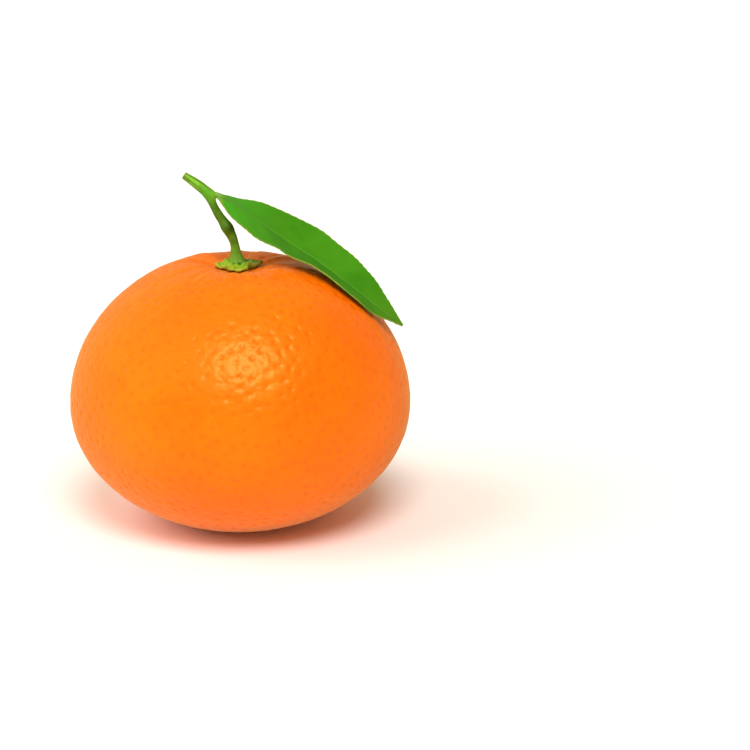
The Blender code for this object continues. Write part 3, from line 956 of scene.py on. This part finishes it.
def make_leaf_finish(name, ground, shade, vein_colour, roughness, gloss):
    """A leathery surface: two greens in soft patches, paler veins and a fine net in low relief."""
    material, tree, in_mm = new_finish(name, roughness=roughness, ior=1.42, specular_ior_level=gloss)
    share, vein, across = read(tree, "share", "vein", "across")
    out = add(tree, MATH, across, operation="ABSOLUTE")
    colour = paint(
        tree, ground,
        (patches(tree, in_mm, LEAF_PATCH_SIZE, LEAF_PATCH_ENDS), shade),
        # Painted light: the blade turns lighter towards its base
        (add(tree, RANGE, share, *LEAF_BASE_PAINTED_LIGHT_ENDS, **EASED), LEAF_BASE_PAINTED_LIGHT),
        (add(tree, RANGE, share, *LEAF_TIP_ENDS, **EASED), LEAF_TIP_GREY),
        (add(tree, RANGE, share, *LEAF_STALK_ENDS, **EASED), LEAF_STALK),
        (vein, vein_colour),
        (add(tree, RANGE, out, *LEAF_EDGE_ENDS, **EASED), LEAF_MARGIN),
    )
    net = add(tree, "ShaderNodeTexVoronoi", in_mm, 1 / LEAF_CELL_SIZE, feature="DISTANCE_TO_EDGE")
    dress(tree, colour, add(tree, RANGE, net, *LEAF_CELL_ENDS, **EASED), *LEAF_BUMP)
    return material


def make_margin_finish():
    """The cut-thin edge: yellow-green where light comes through, and worn in places."""
    material, tree, in_mm = new_finish("thin_leaf_margin", roughness=0.5, ior=1.42)
    worn = patches(tree, in_mm, MARGIN_WEAR_SIZE, MARGIN_WEAR_ENDS)
    dress(tree, paint(tree, LEAF_MARGIN, (worn, LEAF_VEIN)))
    return material


leaf_top_finish = make_leaf_finish("waxed_leaf_top", LEAF_GREEN, LEAF_DEEP, LEAF_VEIN, 0.50, 0.15)
leaf_under_finish = make_leaf_finish(
    "dull_leaf_underside", LEAF_UNDER, LEAF_GREEN, LEAF_UNDER_VEIN, 0.65, 0.12
)
leaf_margin_finish = make_margin_finish()
print("finishes:", leaf_top_finish.name, leaf_under_finish.name, leaf_margin_finish.name)

# %% [markdown]
# ## The leaf's shape
# The blade hangs over the fruit along a curved midrib, and each half rises from it like the side of a
# trough. A sheet is laid out as a grid, with one direction along the leaf and the other across it, and each
# point is put where the two halves' rise says. Both directions are kept on the mesh: Geometry Nodes and the
# materials use them to draw veins that follow the leaf however it bends.

# %% The midrib's course and the blade's form, the same as the solid's
MIDRIB = (
    (-4.25, 0.40, 41.98),
    (-3.20, 0.45, 41.65),
    (-0.70, 1.00, 39.95),
    (3.80, 2.00, 36.45),
    (9.50, 2.45, 32.15),
    (15.90, 1.35, 28.05),
    (22.00, -0.75, 23.85),
    (27.90, -2.20, 19.40),
    (32.40, -3.20, 16.30),
)
MIDRIB_STEPS = 8
LEAF_STATIONS = (  # share of the length, half width in mm, rise of the near and the far half in degrees
    (0.000, 0.5, -40, 0),
    (0.024, 1.5, -40, 2),
    (0.065, 3.2, -37, 6),
    (0.120, 4.6, -32, 12),
    (0.220, 6.5, -22, 24),
    (0.335, 7.7, -7, 25),
    (0.465, 7.9, 3, 25),
    (0.610, 7.0, 13, 22),
    (0.755, 6.0, 7, 23),
    (0.883, 3.4, -5, 24),
    (1.000, 0.3, 0, 20),
)
STATION_STEPS = 6
TANGENT_STEP = 0.01  # a share of the length, over which the midrib's direction is measured
BLADE_THICKNESS = 0.26 * MM
LEAF_WAVE = 0.05 * MM
LEAF_WAVES = 6.5
FAR_WAVE_LEAD = 0.9
LEAF_CUP = 0.3 * MM
CUP_TURN = 0.5  # the share of the way across where the cup turns from hollow to raised
FULL_WIDTH = 4.0 * MM
MARGIN_TEETH = 34
MARGIN_TOOTH = 0.06 * MM
LEAF_ROWS = 260
LEAF_COLUMNS = 110


# %% Where each point of the blade goes
def along(points, share):
    """The point this share of the way down a dense curve, by length."""
    lengths = lengths_of(points)
    left = share * sum(lengths)
    for start, end, length in zip(points, points[1:], lengths):
        if left <= length:
            return start.lerp(end, left / length)
        left -= length
    return points[-1].copy()


def station(form, share):
    """Half width and the two halves' rise at this share of the leaf's length."""
    for low, high in zip(form, form[1:]):
        if share <= high[0]:
            break
    here = low.lerp(high, (share - low[0]) / (high[0] - low[0]))
    return here[1] * MM, math.radians(here[2]), math.radians(here[3])


def leaf_row(course, form, share):
    """The midrib's place, the directions across and up, and the blade's form at this share."""
    ahead = along(course, min(1.0, share + TANGENT_STEP)) - along(course, max(0.0, share - TANGENT_STEP))
    tangent = ahead.normalized()
    side = Vector((0, 0, 1)).cross(tangent).normalized()
    return along(course, share), side, tangent.cross(side), station(form, share)


def blade_point(row, share, across):
    """A point of the blade: across runs from -1 at the near margin to 1 at the far one."""
    centre, side, up, (half_width, near, far) = row
    rise = far if across > 0 else near
    fullness = min(1.0, half_width / FULL_WIDTH)
    tooth = MARGIN_TOOTH * fullness * math.sin(2 * math.pi * MARGIN_TEETH * share) * across**8
    reach = abs(across) * half_width + tooth
    upwards = math.sin(rise) * reach + LEAF_CUP * fullness * across**2 * (abs(across) - CUP_TURN)
    phase = 2 * math.pi * LEAF_WAVES * share + (FAR_WAVE_LEAD if across > 0 else 0.0)
    upwards += LEAF_WAVE * fullness * across**2 * math.sin(phase)
    return centre + side * math.copysign(math.cos(rise) * reach, across) + up * upwards


leaf_course = curve_through([above_widest(*point) for point in MIDRIB], MIDRIB_STEPS)
leaf_form = curve_through([Vector(row) for row in LEAF_STATIONS], STATION_STEPS)
leaf_length = sum(lengths_of(leaf_course))
print("the leaf is", round(leaf_length / MM, 1), "mm long")


# %% Lay out the sheet
def leaf_sheet():
    """The blade's middle surface, with each point's share of the length and place across kept on it."""
    bm = bmesh.new()
    bmesh.ops.create_grid(bm, x_segments=LEAF_ROWS, y_segments=LEAF_COLUMNS, size=1.0)
    share_layer = bm.verts.layers.float.new("share")
    across_layer = bm.verts.layers.float.new("across")
    rows = {}
    for vertex in bm.verts:
        share = (vertex.co.x + 1) / 2
        across = vertex.co.y
        row = round(share, 5)
        if row not in rows:
            rows[row] = leaf_row(leaf_course, leaf_form, share)
        vertex.co = blade_point(rows[row], share, across)
        vertex[share_layer] = share
        vertex[across_layer] = across
    bmesh.ops.recalc_face_normals(bm, faces=bm.faces)
    if sum(face.normal.z for face in bm.faces) < 0:
        bmesh.ops.reverse_faces(bm, faces=bm.faces)
    return mesh_of(bm, "leaf_blade")


# %% [markdown]
# ## Veins
# Side veins leave the midrib in turn, on one half and then on the other, and arch towards the tip. They are
# one family of curves: the share of the length where a vein starts is the share of the point, less a little
# for how far across it is. A sawtooth of that value gives the distance to the nearest vein.

# %% Veins in low relief
BLADE_SIZES = {
    "Vein pairs": 11.0,
    "Vein slope": 0.10,
    "Vein width": 0.26 * MM,
    "Vein depth": 0.03 * MM,
    "Quilting": 0.05 * MM,
    "Midrib groove": 0.16 * MM,
    "Midrib width": 0.34 * MM,
}
VEIN_ARCH = 1.35
FAR_VEIN_LEAD = 0.45
VEIN_WOBBLE = 0.7
VEIN_WOBBLE_SIZE = 5.0
VEIN_FADE = (0.55, 0.92, 1.0, 0.0)  # shares of the way out between which a vein goes from full to nothing
VEIN_SHOWN = 0.10
PILLOW_SHARE = 0.3  # of the gap between two veins
GROOVE_SPAN = 7.0 * MM  # the half width that the midrib's groove is drawn for
GROOVE_TAPER = 0.3
GROOVE_SHOWN = 0.60


def vein_distance(tree, size, share, across, out):
    """How far the nearest side vein is, and how far apart two of them are."""
    bent = product(tree, add(tree, MATH, out, VEIN_ARCH, operation="POWER"), size["Vein slope"])
    start = add(tree, MATH, share, bent, operation="SUBTRACT")
    far_half = add(tree, MATH, across, 0.0, operation="GREATER_THAN")
    in_mm = add(tree, VECTOR, add(tree, "GeometryNodeInputPosition"), 1 / MM, operation="SCALE")
    count = weighted_sum(
        tree,
        (far_half, FAR_VEIN_LEAD),
        (start, size["Vein pairs"]),
        (add(tree, NOISE, in_mm, 1 / VEIN_WOBBLE_SIZE, SMOOTH), VEIN_WOBBLE),
    )
    saw = add(tree, MATH, add(tree, MATH, count, operation="FRACT"), 0.5, operation="SUBTRACT")
    gap = add(tree, MATH, leaf_length, size["Vein pairs"], operation="DIVIDE")
    return product(tree, saw, gap), gap


def make_blade_tree():
    tree, size = begin_tree("leaf_blade", BLADE_SIZES)
    share, across = read(tree, "share", "across")
    out = add(tree, MATH, across, operation="ABSOLUTE")
    away, gap = vein_distance(tree, size, share, across, out)
    fading = add(tree, RANGE, out, *VEIN_FADE, **EASED)
    vein = product(tree, bell(tree, away, size["Vein width"]), fading)
    seam = bell(tree, away, product(tree, gap, PILLOW_SHARE))
    pillow = product(tree, add(tree, MATH, 1.0, seam, operation="SUBTRACT"), fading, size["Quilting"])
    to_tip = add(tree, MATH, 1.0, share, operation="SUBTRACT")
    taper = add(tree, MATH, to_tip, GROOVE_TAPER, operation="POWER")
    groove = product(tree, taper, bell(tree, product(tree, out, GROOVE_SPAN), size["Midrib width"]))
    lowered = weighted_sum(tree, (vein, size["Vein depth"]), (groove, size["Midrib groove"]))
    height = add(tree, MATH, pillow, lowered, operation="SUBTRACT")
    shown = add(tree, MATH, product(tree, vein, VEIN_SHOWN), product(tree, groove, GROOVE_SHOWN),
                operation="MAXIMUM")
    marked = keep(tree, tree.nodes["Group Input"].outputs["Geometry"], vein=shown)
    end_tree(tree, push_out(tree, marked, height), leaf_top_finish)
    return tree


blade = grow("leaf_blade", make_blade_tree(), BLADE_SIZES, leaf_sheet())
blade.data.materials.append(leaf_under_finish)
blade.data.materials.append(leaf_margin_finish)
thickness = blade.modifiers.new("thickness", "SOLIDIFY")
thickness.thickness = BLADE_THICKNESS
thickness.offset = 0.0
thickness.material_offset = 1
thickness.material_offset_rim = 2
blade = plain_mesh(blade)
blade.data.set_sharp_from_angle(angle=SHARP_ANGLE)

# %% [markdown]
# ## The midrib and the leaf's stalk
# On the underside the midrib stands out as a round rib, thick at the leaf's stalk and thin at the tip. It is
# swept like the shoot, with fewer sides, and sinks into the blade.

# %% Sweep the midrib
PETIOLE_START = (-5.35, 0.33, 42.25)
PETIOLE_RADIUS = 0.60 * MM
PETIOLE_RUN = (3.2 * MM, 1.4 * MM)
MIDRIB_END_RADIUS = 0.20 * MM
MIDRIB_TAPER = 0.7
MIDRIB_DROP = 0.42 * MM
MIDRIB_DROP_SHARE = 0.07
MIDRIB_REACH = 0.97
MIDRIB_POINTS = 120
MIDRIB_SIZES = {"Sides": 24, "Ridges round": 6.0, "Ridge height": 0.06 * MM}
MIDRIB_DRIFT = 5.0 * MM
MIDRIB_MOTTLE_SIZE = 1.5


def make_midrib_finish():
    """Young leaf stalk: smooth and satin, and paler than the blade."""
    material, tree, in_mm = new_finish("pale_leaf_rib", roughness=0.5, ior=1.45)
    mottle = add(tree, NOISE, in_mm, 1 / MIDRIB_MOTTLE_SIZE, CLOUDY)
    stalk = add(tree, RANGE, *read(tree, "run"), *PETIOLE_RUN, **EASED)
    dress(tree, paint(tree, LEAF_VEIN, (mottle, LEAF_GREEN), (stalk, LEAF_STALK)))
    return material


def make_midrib_tree():
    tree, size = begin_tree("leaf_midrib", MIDRIB_SIZES)
    tube = swept_tube(tree, size["Sides"])
    ridge, run = ridges_along(tree, size["Ridges round"], MIDRIB_DRIFT)
    even = add(tree, MATH, ridge, NOISE_MEAN, operation="SUBTRACT")
    end_tree(tree, push_out(tree, tube, product(tree, even, size["Ridge height"])), midrib_finish)
    return tree


midrib_finish = make_midrib_finish()
rib_centres = [above_widest(*PETIOLE_START)]
rib_girths = [PETIOLE_RADIUS]
for step in range(MIDRIB_POINTS):
    share = MIDRIB_REACH * step / (MIDRIB_POINTS - 1)
    drop = MIDRIB_DROP * smooth_step(share / MIDRIB_DROP_SHARE)
    rib_centres.append(along(leaf_course, share) - Vector((0, 0, drop)))
    rib_girths.append(PETIOLE_RADIUS + (MIDRIB_END_RADIUS - PETIOLE_RADIUS) * share**MIDRIB_TAPER)
rib_path = path_mesh("leaf_midrib", rib_centres, rib_girths)
midrib = grow("leaf_midrib", make_midrib_tree(), MIDRIB_SIZES, rib_path)
midrib.data.set_sharp_from_angle(angle=SHARP_ANGLE)

# %% [markdown]
# ## Put the finer parts in the solid's place
# Each finer part stands for its solid, which is hidden, and moves with it.

# %% Stand for the solids
for piece, node, slot in (
    (rind, "fruit", "rind"),
    (calyx, "calyx", "calyx"),
    (shoot, "stem", "shoot"),
    (blade, "leaf", "leaf"),
    (midrib, "leaf", "leaf"),
):
    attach(piece, "root")
    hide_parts(node)
    low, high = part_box(node)
    print(piece.name, "stands for", node, "which is", [round(side / MM, 1) for side in high - low], "mm")

# %% [markdown]
# ## Floor, light and camera
# The fruit stands on a plain white floor in a bright, soft light. The main light comes from high in front and
# gives the round gloss on the rind. A second one fills the left side, and is kept out of the reflections, so
# that the gloss stays one round spot. Both are wide suns and not lamps close by, so the floor stays white to
# its far end. A dim, slightly warm sky fills the rest, brighter on the left. The camera looks down by 16
# degrees, so the calyx shows as a flat ellipse.

# %% A white floor and soft light
FLOOR_HALF_WIDTH = 3.0
FLOOR_WHITE = from_hex("FCFBFA")
SKY_COLOUR = from_hex("FFEECB")
SKY_BRIGHT = 0.65  # on the left
SKY_DIM = 0.33  # on the right
LIGHTS = (  # name, azimuth and elevation, strength, degrees across, and whether the gloss shows it
    ("key_light", 7, 53, 2.15, 28, True),
    ("fill_light", -75, 40, 1.4, 50, False),
)


def direction(azimuth, elevation):
    """A unit vector out to a place round the object: azimuth 0 is in front, 90 on the right."""
    a = math.radians(azimuth)
    e = math.radians(elevation)
    return Vector((math.sin(a) * math.cos(e), -math.cos(a) * math.cos(e), math.sin(e)))


def facing(obj, way):
    """Turns a lamp or a camera to look this way, with its top upwards."""
    obj.rotation_mode = "QUATERNION"
    obj.rotation_quaternion = way.to_track_quat("-Z", "Y")


def make_floor():
    """Matt white paper: it shows the fruit's soft shadow and nothing of its own."""
    bm = bmesh.new()
    bmesh.ops.create_grid(bm, x_segments=1, y_segments=1, size=FLOOR_HALF_WIDTH)
    mesh = mesh_of(bm, "floor")
    mesh.materials.append(new_finish("matt_white_paper", roughness=0.9, ior=1.4, base_color=FLOOR_WHITE)[0])
    floor = put_in_scene("floor", mesh)
    floor.visible_glossy = False
    return floor


make_floor()
for name, azimuth, elevation, strength, width, in_gloss in LIGHTS:
    lamp = bpy.data.lights.new(name, "SUN")
    lamp.energy = strength
    lamp.angle = math.radians(width)
    light = put_in_scene(name, lamp)
    light.visible_glossy = in_gloss
    facing(light, -direction(azimuth, elevation))
world = bpy.data.worlds.new("soft_sky")
world.use_nodes = True
sky = world.node_tree
background = sky.nodes["Background"]
background.inputs["Color"].default_value = SKY_COLOUR
heading = add(sky, SEPARATE, sky.nodes.new("ShaderNodeTexCoord").outputs["Generated"])
fall_off = add(sky, RANGE, heading.outputs["X"], -1.0, 1.0, SKY_BRIGHT, SKY_DIM)
sky.links.new(live(fall_off.outputs)[0], background.inputs["Strength"])
bpy.context.scene.world = world
bpy.context.scene.view_settings.view_transform = "Standard"
print("lights:", [light[0] for light in LIGHTS])

# %% A camera at the picture's viewing angle
FRAME_PIXELS = 750
PIXELS_PER_METRE = 4985  # at the fruit's core
CORE_COLUMN = 240.7  # where the core and the widest level lie in the frame
WIDEST_ROW = 400.2
LOOK_DOWN = 16
CAMERA_DISTANCE = 0.6
SENSOR = 36.0
NEAREST_SHOWN = 0.01

back = direction(0, LOOK_DOWN)
picture_up = back.cross(Vector((1, 0, 0)))
target = Vector(((FRAME_PIXELS / 2 - CORE_COLUMN) / PIXELS_PER_METRE, 0, RIND_SIZES["Widest level"]))
target += picture_up * (WIDEST_ROW - FRAME_PIXELS / 2) / PIXELS_PER_METRE
camera_data = bpy.data.cameras.new("camera")
camera_data.sensor_width = SENSOR
camera_data.lens = SENSOR * CAMERA_DISTANCE / (FRAME_PIXELS / PIXELS_PER_METRE)
camera_data.clip_start = NEAREST_SHOWN
camera = put_in_scene("camera", camera_data)
camera.location = target + back * CAMERA_DISTANCE
facing(camera, -back)
bpy.context.scene.camera = camera
print("lens", round(camera_data.lens, 1), "mm")
